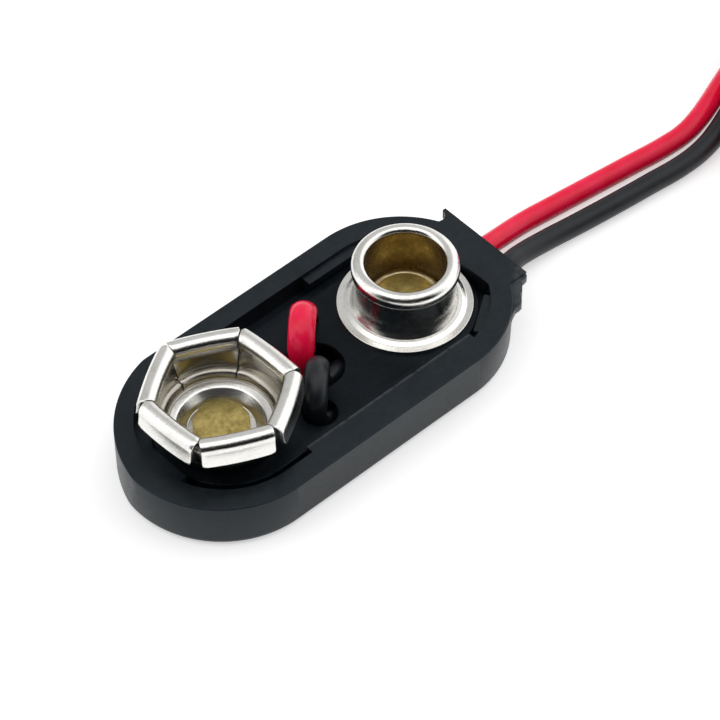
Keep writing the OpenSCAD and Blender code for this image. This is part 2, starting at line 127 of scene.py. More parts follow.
class Board:
    # a node tree that is written as calls
    def __init__(self, tree):
        self.tree = tree

    def node(self, kind, settings=None, sockets=None, out=0):
        node = self.tree.nodes.new(kind)
        for key, value in (settings or {}).items():
            setattr(node, key, value)
        for key, value in (sockets or {}).items():
            feed(self.tree, node.inputs[key], value)
        return Wire(self.tree, node.outputs[out])

    def outputs(self, wire, *names):
        # more outputs of the node that a wire comes from
        return [Wire(self.tree, wire.socket.node.outputs[name]) for name in names]

    def noise(self, where, scale, detail=3.0, rough=0.55):
        sockets = {"Vector": where, "Scale": scale, "Detail": detail, "Roughness": rough}
        return self.node("ShaderNodeTexNoise", None, sockets, "Fac")

    def stretch(self, where, scale, turn=(0, 0, 0), shift=(0, 0, 0)):
        sockets = {"Scale": Vector(scale), "Rotation": Vector(turn), "Location": Vector(shift)}
        return self.node("ShaderNodeMapping", None, {"Vector": where, **sockets})

    def step(self, value, low, high):
        return self.node("ShaderNodeMapRange", {"interpolation_type": "SMOOTHSTEP"},
                         {"Value": value, "From Min": low, "From Max": high})

    def band(self, value, rise, fall):
        return self.step(value, *rise) * (1 - self.step(value, *fall))

    def dot(self, first, second):
        return self.node("ShaderNodeVectorMath", {"operation": "DOT_PRODUCT"}, {0: first, 1: second}, "Value")

    def blend(self, factor, first, second):
        return self.node("ShaderNodeMix", {"data_type": "RGBA"}, {0: factor, 6: first, 7: second}, 2)


class Finish(Board):
    def __init__(self, name, fixed):
        self.mat = bpy.data.materials.new(name)
        self.mat.use_nodes = True
        super().__init__(self.mat.node_tree)
        self.shader = self.tree.nodes["Principled BSDF"]
        self.where = self.node("ShaderNodeTexCoord", None, None, "Object")
        self.paint(fixed)

    def paint(self, sockets):
        for key, value in sockets.items():
            feed(self.tree, self.shader.inputs[key], value)

    def bump(self, height, depth, strength):
        sockets = {"Strength": strength, "Distance": depth, "Height": height}
        self.paint({"Normal": self.node("ShaderNodeBump", None, sockets)})


paleMarksAndHighlight = {  # where handling has turned the moulding pale, and where a highlight is painted along the near lug's edge, in metres
    "torn": (0.0137, 0.0146),  # beyond this the flash was torn off at a slant
    "slant": 0.9,
    "lugHighlightY": ((-0.00424, -0.00416), (-0.00404, -0.00398)),  # painted highlight along the near lug's inner top edge
    "lugHighlightX": ((-0.0043, -0.0041), (0.0066, 0.0074)),
    "lugHighlightZ": (0.0026, 0.0027),
    "colour": (0.05, 0.055, 0.06),
}


def mouldedPlastic(name, dark, light, rough, spec):
    f = Finish(name, {"Specular IOR Level": spec, "Specular Tint": (0.78, 0.92, 1.0)})
    marks = paleMarksAndHighlight
    clouds = f.noise(f.where, 420, 3)  # soft patches a few mm across
    mottle = f.noise(f.where, 2600, 4, 0.6)
    grain = f.noise(f.where, 16000, 3, 0.6)
    drawn = f.noise(f.stretch(f.where, (1800, 26000, 9000), (0, 0, 0.35)), 1, 2)  # rubbed lines
    tone = f.step(clouds * 0.6 + mottle * 0.4, 0.34, 0.68)
    dust = f.step(f.noise(f.where, 7000, 3, 0.7), 0.63, 0.72)
    x, y, z = f.outputs(f.node("ShaderNodeSeparateXYZ", None, {0: f.where}), "X", "Y", "Z")
    torn = f.step(x - y * marks["slant"], *marks["torn"]) * f.step(mottle, 0.3, 0.6)
    # a painted highlight along the near lug's inner top edge, broken up by the mottle
    lugEdgeHighlight = f.band(y, *marks["lugHighlightY"]) * f.step(z, *marks["lugHighlightZ"]) * f.band(x, *marks["lugHighlightX"])
    lugEdgeHighlight = lugEdgeHighlight * f.step(mottle, 0.3, 0.55)
    # torn flash and dust are real pale marks; the lug's line is a painted highlight
    paledAndHighlit = torn * 0.9 + lugEdgeHighlight * 0.8 + dust * 0.35
    f.paint({
        "Base Color": f.blend(paledAndHighlit, f.blend(tone, dark, light), marks["colour"]),
        "Roughness": rough + (mottle - 0.5) * 0.22 + (drawn - 0.5) * 0.1,
    })
    f.bump(grain * 0.6 + mottle * 0.7 + drawn * 0.25, depth=0.000012, strength=0.55)
    return f.mat


wallShadeAndReflection = {  # the crown's inner wall is painted darker and browner than the rest, as painted shade and a painted reflection of the brass, in metres
    "shiftX": 0.00635,  # brings the crown's axis to the middle
    "reach": ((0.00268, 0.00276), (0.0033, 0.0034)),
    "top": (0.0046, 0.0051),
    "share": 0.74,
    "colour": (0.3, 0.27, 0.21),
}


def platedSheet(name, colour, tarnish, rough):
    f = Finish(name, {"Metallic": 1.0})
    wall = wallShadeAndReflection
    patches = f.noise(f.where, 700, 3)
    rub = f.noise(f.stretch(f.where, (3000, 3000, 30000)), 1, 3, 0.65)  # drawing marks round the sheet
    specks = f.step(f.noise(f.where, 13000, 3, 0.7), 0.56, 0.68)
    worn = f.step(patches * 0.7 + rub * 0.3, 0.42, 0.72)
    grain = f.noise(f.where, 11000, 3, 0.7)
    flatWay = f.stretch(f.where, (1, 1, 0), shift=(wall["shiftX"], 0, 0))
    reach = f.node("ShaderNodeVectorMath", {"operation": "LENGTH"}, {0: flatWay}, "Value")
    height = f.node("ShaderNodeSeparateXYZ", None, {0: f.where}, "Z")
    # where the painted shade and brown reflection go: the inside of the petals' walls, below the rolls
    inside = f.band(reach, *wall["reach"]) * (1 - f.step(height, *wall["top"]))
    plated = f.blend(worn * 0.45 + specks * 0.7, colour, tarnish)
    f.paint({
        # the painted shade and reflection are blended over the plating
        "Base Color": f.blend(inside * wall["share"], plated, wall["colour"]),
        "Roughness": rough + worn * 0.08 + rub * 0.05,
    })
    f.bump(rub * 0.3 + patches * 0.4 + grain * 0.9, depth=0.000014, strength=0.6)
    return f.mat


def dullBrass(name, colour, stain, rough):
    f = Finish(name, {"Metallic": 1.0})
    patches = f.noise(f.where, 1100, 4, 0.6)
    scuff = f.noise(f.where, 5200, 4, 0.65)
    drawn = f.noise(f.stretch(f.where, (1600, 1600, 24000)), 1, 3, 0.6)  # rings left by the drawing tool
    stained = f.step(patches * 0.6 + scuff * 0.25 + drawn * 0.15, 0.38, 0.64)
    f.paint({
        "Base Color": f.blend(stained, colour, stain),
        "Roughness": rough + stained * 0.14 + scuff * 0.1,
    })
    f.bump(scuff * 0.6 + patches * 0.5 + drawn * 0.5, depth=0.000012, strength=0.6)
    return f.mat


def leadJacket(name, colour, shade, rough, coat):
    f = Finish(name, {"Specular IOR Level": 0.34, "Coat Roughness": 0.2, "Coat Weight": coat})
    blotch = f.noise(f.where, 900, 3)
    drawn = f.noise(f.stretch(f.where, (900, 7000, 7000)), 1, 2)  # lines left by the extruder
    grain = f.noise(f.where, 14000, 2)
    tone = f.step(blotch * 0.7 + drawn * 0.3, 0.3, 0.72)
    f.paint({
        "Base Color": f.blend(tone, shade, colour),
        "Roughness": rough + (blotch - 0.5) * 0.2,
    })
    f.bump(drawn * 0.7 + grain * 0.3, depth=0.000012, strength=0.5)
    return f.mat


def tinnedMetal(name, colour, shade, rough):
    f = Finish(name, {"Metallic": 1.0})
    lumps = f.noise(f.where, 3200, 3)
    grain = f.noise(f.where, 15000, 2)
    f.paint({
        "Base Color": f.blend(f.step(lumps, 0.35, 0.7), colour, shade),
        "Roughness": rough + lumps * 0.2,
    })
    f.bump(lumps * 0.8 + grain * 0.2, depth=0.00002, strength=0.6)
    return f.mat


def strapNylon(name, colour, shade):
    f = Finish(name, {"Subsurface Weight": 0.1, "Subsurface Radius": Vector((0.0004, 0.0004, 0.0004))})
    cloud = f.noise(f.where, 800, 3)
    grain = f.noise(f.where, 12000, 2)
    f.paint({
        "Base Color": f.blend(cloud, colour, shade),
        "Roughness": 0.34 + cloud * 0.2,
    })
    f.bump(grain, depth=0.000008, strength=0.5)
    return f.mat


finishes = {
    "shell": mouldedPlastic("shellPlastic", (0.004, 0.0062, 0.0088), (0.01, 0.0132, 0.0172), 0.36, 0.32),
    # the plate's colours are darker than the shell's: painted shade on the plate sunk in the tray round the crown
    "plate": mouldedPlastic("platePlastic", (0.0024, 0.004, 0.006), (0.005, 0.0075, 0.0105), 0.34, 0.15),
    "nickel": platedSheet("nickelPlate", (0.86, 0.85, 0.82), (0.6, 0.575, 0.51), 0.12),
    "brass": dullBrass("brassDull", (0.72, 0.58, 0.21), (0.36, 0.265, 0.085), 0.3),
    "brassInside": dullBrass("brassInside", (0.56, 0.45, 0.26), (0.34, 0.265, 0.145), 0.22),
    "red": leadJacket("redJacket", (1.0, 0.009, 0.08), (0.9, 0.004, 0.038), 0.23, 0.03),
    "black": leadJacket("blackJacket", (0.013, 0.0165, 0.021), (0.007, 0.009, 0.012), 0.36, 0.04),
    "tinned": tinnedMetal("tinnedStrands", (0.76, 0.75, 0.72), (0.5, 0.49, 0.46), 0.25),
    "solder": tinnedMetal("solderGrey", (0.66, 0.67, 0.69), (0.42, 0.43, 0.45), 0.3),
    "tie": strapNylon("tieNylon", (0.8, 0.8, 0.77), (0.7, 0.7, 0.66)),
}
print("finishes made:", ", ".join(finishes))

# mesh helpers, all in mm until the last step


def linkMesh(name, verts, faces, mats, picks=None):
    mesh = bpy.data.meshes.new(name)
    mesh.from_pydata([Vector(v) * mm for v in verts], [], faces)
    for mat in mats:
        mesh.materials.append(mat)
    if picks:
        mesh.polygons.foreach_set("material_index", picks)
    mesh.update()
    obj = bpy.data.objects.new(name, mesh)
    scene.collection.objects.link(obj)
    return obj


def evaluatedMesh(obj):
    bpy.context.view_layer.update()
    graph = bpy.context.evaluated_depsgraph_get()
    done = obj.evaluated_get(graph)
    return bpy.data.meshes.new_from_object(done, preserve_all_data_layers=True, depsgraph=graph)


def settle(obj):
    mesh = evaluatedMesh(obj)
    obj.modifiers.clear()
    obj.data = mesh
    return obj


def smooth(obj, angle=35):
    obj.data.shade_smooth()
    obj.data.set_sharp_from_angle(angle=math.radians(angle))
    return obj


def softenEdges(obj, width, segments=2, angle=40):
    bevel = obj.modifiers.new("bevel", "BEVEL")
    bevel.width = width * mm
    bevel.segments = segments
    bevel.limit_method = "ANGLE"
    bevel.angle_limit = math.radians(angle)
    bevel.miter_outer = "MITER_ARC"
    weighted = obj.modifiers.new("weighted", "WEIGHTED_NORMAL")
    weighted.keep_sharp = True
    obj.data.shade_smooth()
    settle(obj)
    return obj


def fit(obj, slotName, *nodes):
    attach(obj, "root")
    if nodes:
        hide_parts(*nodes)
    return obj


def ease(start, end, value):
    share = min(1, max(0, (value - start) / (end - start)))
    return share * share * (3 - 2 * share)


def arcPoints(cx, cy, r, start, end, steps):
    angles = [math.radians(start + (end - start) * k / steps) for k in range(steps + 1)]
    return [(cx + r * math.cos(a), cy + r * math.sin(a)) for a in angles]


def rounded(corners, step=9):
    # a flat path with each corner (x, y, radius) turned to its radius
    out = []
    for i, (x, y, r) in enumerate(corners):
        here = Vector((x, y))
        if r == 0 or i in (0, len(corners) - 1):
            out.append(here)
            continue
        back = (Vector(corners[i - 1][:2]) - here).normalized()
        ahead = (Vector(corners[i + 1][:2]) - here).normalized()
        half = back.angle(ahead) / 2
        reach = r / math.tan(half)
        centre = here + (back + ahead).normalized() * (r / math.sin(half))
        first = here + back * reach - centre
        last = here + ahead * reach - centre
        turn = first.angle_signed(last)
        count = max(2, int(abs(math.degrees(turn)) / step))
        for k in range(count + 1):
            a = -turn * k / count
            out.append(centre + Vector((first.x * math.cos(a) - first.y * math.sin(a),
                                        first.x * math.sin(a) + first.y * math.cos(a))))
    return [tuple(p) for p in out]


def lathe(name, profile, centre, mats, picks=None, steps=144, closed=True):
    verts = []
    rings = []
    for r, z in profile:
        if r < 1e-6:
            rings.append([len(verts)])
            verts.append((centre[0], centre[1], z))
            continue
        rings.append(list(range(len(verts), len(verts) + steps)))
        for k in range(steps):
            a = 2 * math.pi * k / steps
            verts.append((centre[0] + r * math.cos(a), centre[1] + r * math.sin(a), z))
    faces = []
    slots = []
    pairs = list(zip(range(len(rings) - 1), range(1, len(rings))))
    if closed:
        pairs.append((len(rings) - 1, 0))
    for i, j in pairs:
        for k in range(steps):
            n = (k + 1) % steps
            a, b = rings[i], rings[j]
            if len(a) == 1:
                faces.append((a[0], b[n], b[k]))
            elif len(b) == 1:
                faces.append((a[k], a[n], b[0]))
            else:
                faces.append((a[k], a[n], b[n], b[k]))
            slots.append(picks[i] if picks else 0)
    obj = linkMesh(name, verts, faces, mats, slots)
    outward(obj)
    return smooth(obj, 30)


def outward(obj, merge=1e-8, flat=0):
    # doubles merged and faces turned out; flat is the bend in degrees under which faces join
    bm = bmesh.new()
    bm.from_mesh(obj.data)
    bmesh.ops.remove_doubles(bm, verts=bm.verts, dist=merge)
    if flat:
        bmesh.ops.dissolve_limit(bm, angle_limit=math.radians(flat), verts=bm.verts, edges=bm.edges)
    bmesh.ops.recalc_face_normals(bm, faces=bm.faces)
    bm.to_mesh(obj.data)
    bm.free()
    return obj


def loft(name, rings, mats=()):
    n = len(rings[0])
    verts = [p for ring in rings for p in ring]
    faces = [tuple(range(n - 1, -1, -1)), tuple(range(len(verts) - n, len(verts)))]
    for i in range(0, len(verts) - n, n):
        for k in range(n):
            m = (k + 1) % n
            faces.append((i + k, i + m, i + n + m, i + n + k))
    return outward(linkMesh(name, verts, faces, mats))


def prism(name, outline, low, high):
    return loft(name, [[(x, y, z) for x, y in outline] for z in (low, high)])


def box(name, low, high):
    outline = [(low[0], low[1]), (high[0], low[1]), (high[0], high[1]), (low[0], high[1])]
    return prism(name, outline, low[2], high[2])


def combine(obj, other, operation):
    mod = obj.modifiers.new(operation.lower(), "BOOLEAN")
    mod.operation = operation
    mod.solver = "EXACT"
    mod.object = other
    settle(obj)
    bpy.data.objects.remove(other)
    return obj


def bentPath(points, radii, step=6):
    # a path through corner points, each turned to its radius
    out = [Vector(points[0])]
    for i in range(1, len(points) - 1):
        here = Vector(points[i])
        way = (here - Vector(points[i - 1])).normalized()
        ahead = (Vector(points[i + 1]) - here).normalized()
        turn = way.angle(ahead)
        if turn < 1e-4:
            out.append(here)
            continue
        inward = (ahead - ahead.dot(way) * way).normalized()
        start = here - radii[i] * math.tan(turn / 2) * way
        count = max(2, int(math.degrees(turn) / step))
        for k in range(count + 1):
            t = turn * k / count
            out.append(start + radii[i] * math.sin(t) * way + radii[i] * (1 - math.cos(t)) * inward)
    out.append(Vector(points[-1]))
    return [p for k, p in enumerate(out) if k == 0 or (p - out[k - 1]).length > 0.02]


def spread(path, gap):
    # the same path with points at even gaps
    out = [path[0]]
    left = gap
    for a, b in zip(path, path[1:]):
        span = (b - a).length
        while left <= span:
            out.append(a.lerp(b, left / span))
            left += gap
        left -= span
    if (out[-1] - path[-1]).length > gap * 0.3:
        out.append(path[-1])
    else:
        out[-1] = path[-1]
    return out


def sweep(name, path, radius, shape, mat, sides=28):
    # a tube along the path; shape gives how each ring is squeezed
    side = Vector((0, 1, 0))
    rings = []
    for i, p in enumerate(path):
        way = (path[min(i + 1, len(path) - 1)] - path[max(i - 1, 0)]).normalized()
        side = (side - side.dot(way) * way).normalized()
        up = way.cross(side)
        angles = [2 * math.pi * k / sides for k in range(sides)]
        rings.append([p + shape(i, radius * (math.cos(a) * side + math.sin(a) * up)) for a in angles])
    return smooth(loft(name, rings, [mat]), 50)


# Geometry Nodes trees, written as calls like the shaders


def nodeTree(name, inputs):
    group = bpy.data.node_groups.new(name, "GeometryNodeTree")
    for label, kind in inputs.items():
        group.interface.new_socket(name=label, in_out="INPUT", socket_type="NodeSocket" + kind)
    group.interface.new_socket(name="Geometry", in_out="OUTPUT", socket_type="NodeSocketGeometry")
    b = Board(group)
    return b, dict(zip(inputs, b.outputs(b.node("NodeGroupInput"), *inputs)))


def ringAngle(b, count):
    sockets = {0: b.node("GeometryNodeInputIndex"), 1: count}
    return b.node("ShaderNodeMath", {"operation": "DIVIDE"}, sockets) * (2 * math.pi)


def ringCopies(b, shape, count, turn):
    points = b.node("GeometryNodePoints", None, {"Count": count})
    way = b.node("ShaderNodeCombineXYZ", None, turn)
    return b.node("GeometryNodeInstanceOnPoints", None, {"Points": points, "Instance": shape, "Rotation": way})


def endTree(b, shape, finish):
    real = b.node("GeometryNodeRealizeInstances", None, {0: shape})
    painted = b.node("GeometryNodeSetMaterial", None, {"Geometry": real, "Material": finish})
    feed(b.tree, b.tree.nodes.new("NodeGroupOutput").inputs[0], painted)
    return b.tree


def runTree(obj, group, values):
    mod = obj.modifiers.new(group.name, "NODES")
    mod.node_group = group
    for item in group.interface.items_tree:
        if item.in_out == "INPUT" and item.name in values:
            mod[item.identifier] = values[item.name]
    return settle(obj)


# the two free leads, each one curve from the snout into the coil
leadSettings = {
    "radius": 0.6,
    "exitX": 12.15,
    "exitY": 0.85,
    "exitZ": 1.15,
    "straightOut": (0.9, 0, -0.03),
    "redRoute": [(14, 0.95, 0.95), (16, 1.05, 0.7), (18, 0.9, 0.6), (20.5, 0.6, 0.6), (23, 0.3, 0.6),
                 (25.85, -0.03, 0.6), (27.24, -0.08, 0.66), (28.35, 0.057, 0.8), (29.56, 0.392, 0.9)],
    "blackRoute": [(14, -0.7, 0.95), (16, -0.7, 0.7), (18, -0.9, 0.6), (20.5, -1.2, 0.6), (23, -1.45, 0.6),
                   (25.65, -1.67, 0.6), (27.32, -1.58, 0.66), (28.61, -1.3, 0.8)],
    "heading": 20,  # degrees, the way the leads run into the coil
    "runIn": 6.2,
    "column": 1.3,  # red and black lie side by side in the coil
    "pitch": 1.25,
    "redCoilR": 7.65,
    "redTurn": 780,  # degrees wound
    "blackTurn": 920,
    "redClimb": (240, 305),  # where each turn climbs to the next layer
    "blackClimb": (286, 326),
    "knotGap": 12,  # degrees between points in the coil
}
leadSides = {"red": 1, "black": -1}


def coilFrame(cfg):
    a = math.radians(cfg["heading"])
    ahead = Vector((math.cos(a), math.sin(a), 0))
    right = Vector((math.sin(a), -math.cos(a), 0))
    centre = Vector(cfg["redRoute"][-1]) + cfg["runIn"] * ahead + cfg["redCoilR"] * right
    return ahead, right, centre


def coilPlace(cfg, r, degrees, climb):
    ahead, right, centre = coilFrame(cfg)
    t = math.radians(degrees)
    lift = cfg["pitch"] * (degrees // 360 + ease(*climb, degrees % 360))
    return centre + r * (math.sin(t) * ahead - math.cos(t) * right) + Vector((0, 0, lift))


def leadCurve(name, points, cfg, mat):
    data = bpy.data.curves.new(name, "CURVE")
    data.dimensions = "3D"
    data.bevel_depth = cfg["radius"]  # each knot's own radius brings it to mm
    data.bevel_resolution = 6
    data.resolution_u = 6
    data.use_fill_caps = True
    line = data.splines.new("BEZIER")
    line.bezier_points.add(len(points) - 1)
    for knot, p in zip(line.bezier_points, points):
        knot.co = p * mm
        knot.radius = mm
        knot.handle_left_type = "AUTO"
        knot.handle_right_type = "AUTO"
    data.materials.append(mat)
    obj = bpy.data.objects.new(name, data)
    scene.collection.objects.link(obj)
    return obj


def leadPoints(cfg, colour):
    ahead, right = coilFrame(cfg)[:2]
    points = [Vector((cfg["exitX"], leadSides[colour] * cfg["exitY"], cfg["exitZ"]))]
    points.append(points[0] + Vector(cfg["straightOut"]))
    points += [Vector(p) for p in cfg[colour + "Route"]]
    r = cfg["redCoilR"]
    if colour == "black":  # runs in beside the red one
        points.append(Vector(cfg["redRoute"][-1]) + cfg["column"] * right)
        r -= cfg["column"]
    start = points[-1]
    points += [start + share * cfg["runIn"] * ahead for share in (0.2, 0.4, 0.6, 0.8)]
    last, climb = cfg[colour + "Turn"], cfg[colour + "Climb"]
    count = math.ceil(last / cfg["knotGap"])
    points += [coilPlace(cfg, r, last * k / count, climb) for k in range(count + 1)]
    way = points[-1] - coilPlace(cfg, r, last - 1, climb)
    way.z = 0
    return points, way.normalized()


def pathLength(obj):
    depth = obj.data.bevel_depth
    obj.data.bevel_depth = 0
    line = evaluatedMesh(obj)
    obj.data.bevel_depth = depth
    places = [v.co for v in line.vertices]
    total = sum((places[a] - places[b]).length for a, b in (edge.vertices for edge in line.edges))
    bpy.data.meshes.remove(line)
    return total


strandSettings = {
    "length": 5.0,
    "bundle": 0.2,  # radius that the outer strands wind on
    "strand": 0.1,
    "twists": 1.4,
    "count": 6,
    "steps": 24,
    "sides": 10,
    "overlap": 0.05,  # how far they start inside the jacket
}


def strandTree(cfg):
    b, given = nodeTree("tinnedStrands", {
        "Geometry": "Geometry", "Strands": "Int", "Length": "Float", "Bundle": "Float", "Radius": "Float",
        "Twists": "Float", "Finish": "Material"})
    spiral = b.node("GeometryNodeCurveSpiral", None, {
        "Resolution": cfg["steps"], "Rotations": given["Twists"], "Start Radius": given["Bundle"],
        "End Radius": given["Bundle"], "Height": given["Length"]})
    tip = b.node("ShaderNodeCombineXYZ", None, {"Z": given["Length"]})
    line = b.node("GeometryNodeCurvePrimitiveLine", None, {"End": tip})
    circle = b.node("GeometryNodeCurvePrimitiveCircle", None, {
        "Resolution": cfg["sides"], "Radius": given["Radius"]})
    outer, core = [b.node("GeometryNodeCurveToMesh", None, {
        "Curve": curve, "Profile Curve": circle, "Fill Caps": True}) for curve in (spiral, line)]
    copies = ringCopies(b, outer, given["Strands"], {"Z": ringAngle(b, given["Strands"])})
    return endTree(b, b.node("GeometryNodeJoinGeometry", None, {0: [copies, core]}), given["Finish"])


def strandEnd(name, group, cfg, place, way):
    obj = linkMesh(name, [(0, 0, 0)], [], [])
    runTree(obj, group, {
        "Strands": cfg["count"], "Length": cfg["length"] * mm, "Bundle": cfg["bundle"] * mm,
        "Radius": cfg["strand"] * mm, "Twists": cfg["twists"], "Finish": finishes["tinned"]})
    turn = Vector((0, 0, 1)).rotation_difference(way).to_matrix().to_4x4()
    obj.data.transform(Matrix.Translation(place * mm) @ turn)
    smooth(obj, 60)
    return outward(obj)


tieSettings = {
    "turn": 40,  # degrees into the coil
    "width": 1.6,
    "thick": 0.3,
    "gap": 0.1,
    "inner": 5.7,  # the coil's section, from the coil's middle
    "outer": 8.3,
    "top": 4.0,
    "seam": 2,  # where the strap's outline starts
    "outerR": 0.5,
    "innerR": 0.2,
    "head": ((-0.75, -1.15, -0.04), (0.75, 1.15, 0.62)),  # corners, from the middle of the strap's top
    "tail": ((0.4, -0.72, 0.14), (1.35, 0.72, 0.4)),
}


def makeTie(cfg, lead):
    ahead, right, centre = coilFrame(lead)
    t = math.radians(cfg["turn"])
    out = math.sin(t) * ahead - math.cos(t) * right
    along = Vector((-out.y, out.x, 0))
    base = Vector((centre.x, centre.y, 0))
    low = cfg["inner"] - cfg["gap"] - cfg["thick"]
    high = cfg["outer"] + cfg["gap"] + cfg["thick"]
    mid = (low + high) / 2
    top = cfg["top"] + cfg["gap"] + cfg["thick"]

    def place(a, w, z):
        return base + a * out + w * along + Vector((0, 0, z))

    def outline(d, r):
        corners = [(low + cfg["seam"], d, 0), (high - d, d, r), (high - d, top - d, r), (low + d, top - d, r),
                   (low + d, d, r), (low + cfg["seam"], d, 0)]
        return rounded(corners)[:-1]

    loop = outline(0, cfg["outerR"]) + outline(cfg["thick"], cfg["innerR"])
    verts = [place(a, w, z) for w in (-cfg["width"] / 2, cfg["width"] / 2) for a, z in loop]
    n = len(loop) // 2
    faces = []
    for k in range(n):
        m = (k + 1) % n
        faces += [(k, m, 2 * n + m, 2 * n + k), (n + k, 3 * n + k, 3 * n + m, n + m)]
        faces += [(k, n + k, n + m, m), (2 * n + k, 2 * n + m, 3 * n + m, 3 * n + k)]
    strap = outward(linkMesh("coilTie", verts, faces, [finishes["tie"]]))
    softenEdges(strap, 0.06, 2, 50)
    # the locking head stands on the strap, with the cut tail beside it
    for a, b in (cfg["head"], cfg["tail"]):
        sides = ((a[0], a[1]), (b[0], a[1]), (b[0], b[1]), (a[0], b[1]))
        rings = [[place(mid + x, y, top + z) for x, y in sides] for z in (a[2], b[2])]
        combine(strap, softenEdges(loft("tieBlock", rings, [finishes["tie"]]), 0.12, 3, 40), "UNION")
    return smooth(strap, 40)


strands = strandTree(strandSettings)
leads = {}
for colour in leadSides:
    points, tipWay = leadPoints(leadSettings, colour)
    lead = leadCurve(colour + "Lead", points, leadSettings, finishes[colour])
    root = points[-1] - tipWay * strandSettings["overlap"]
    end = strandEnd(colour + "Strands", strands, strandSettings, root, tipWay)
    fit(end, "tinned_copper", colour + "_tinned_end")
    leads[colour] = (lead, end)
tie = fit(makeTie(tieSettings, leadSettings), "tie_plastic", "coil_tie")
for colour, side in leadSides.items():
    lead, end = leads[colour]
    own = [colour + "_lead"] + (["lead_coil"] if colour == "red" else [])
    fit(lead, colour + "_insulation", *own)
    span = pathLength(lead)
    print(colour, "lead runs", round(span * 1000, 1), "mm")
    [end] + ([tie] if colour == "red" else [])
print("leads laid")

# the moulded shell: tray, snout with its ears, torn flash, lugs
shellSettings = {
    "width": 11.7,
    "rightX": 6.075,  # middles of the round ends
    "leftX": -6.275,
    "rimZ": 3.0,
    "ledgeZ": 1.8,
    "floorZ": 0.5,
    "draft": 0.1,
    "backR": 0.5,
    "rimR": 0.09,
    "trimX": -5.24,  # the round end beside the socket was trimmed to a wider arc
    "trimY": -1.0,
    "trimR": 6.97,
    "rimWidth": 1.2,
    "openingEnd": 4.4,
    "openingFlat": 10.1,
    "chamberEnd": 9.6,
    "chamberHalf": 3.61,
    "steps": 96,
    "studX": 6.35,
    "snoutX": 12.15,  # the flat end where the leads leave
    "snoutHalf": 1.9,
    "snoutZ": (0.35, 2.7),
    "earHalf": 3.1,
    "earZ": (2.4, 3.0),
    "earTip": 0.2,
    "nickR": 0.5,  # round nick beside the far ear
    "flashRoot": [(6.35, 0), (11.95, -1.55)],
    "flashEdge": [(12.06, -3.23), (11.6, -3.3), (11.35, -3.62), (10.91, -3.92), (10.66, -4.3), (10.33, -4.47),
                  (9.88, -4.56), (9.5, -4.75)],
    "flashZ": (2.4, 2.9),
    "tear": {"gap": 0.16, "size": 0.1, "seed": 5},
    "bore": {"y": 0.85, "z": 1.15, "r": 0.625, "x": (8.7, 14)},
    "lugs": [((-4.2, -4.67), (7.1, -4.06)), ((3.3, 4.06), (7.3, 4.67)), ((-10.76, -1.45), (-9.93, 1.45))],
    "lugHighlightZ": (1.79, 2.8),
    "cornerLug": ((4.06, -1.3), (4.67, 1.3)),
    "cornerX": 6.2,
    "cornerTurn": -56,  # degrees
    "edge": 0.05,
}
aboveAll = 9  # cutters end up here


def shellRing(cfg, inset):
    half = cfg["width"] / 2 - inset
    n = cfg["steps"]
    ring = arcPoints(cfg["rightX"], 0, half, -90, 90, n)
    for k in range(n + 1):
        a = math.radians(90 + 180 * k / n)
        dx, dy = math.cos(a), math.sin(a)
        r = half
        if dy > -0.05:
            ox, oy = cfg["leftX"] - cfg["trimX"], -cfg["trimY"]
            b = ox * dx + oy * dy
            r = min(r, -b + math.sqrt(b * b - ox * ox - oy * oy + (cfg["trimR"] - 0.4 * inset) ** 2))
        ring.append((cfg["leftX"] + r * dx, r * dy))
    return ring


def flatEnded(left, right, half, flat):
    # an oblong with round ends, the right one cut off flat
    mid = right - half
    cut = math.degrees(math.acos((flat - mid) / half))
    outline = arcPoints(mid, 0, half, -90, -cut, 40) + arcPoints(mid, 0, half, cut, 90, 40)
    return outline + arcPoints(left + half, 0, half, 90, 270, 80)


def ragged(points, gap, size, seed):
    # a torn edge: the line broken up and pushed to and fro
    rng = random.Random(seed)
    out = [points[0]]
    for a, b in zip(points, points[1:]):
        count = max(1, int(math.dist(a, b) / gap))
        for k in range(1, count + 1):
            s = k / count
            push = size * (rng.random() - 0.5) if k < count else 0
            out.append((a[0] + (b[0] - a[0]) * s + push, a[1] + (b[1] - a[1]) * s - push))
    return out


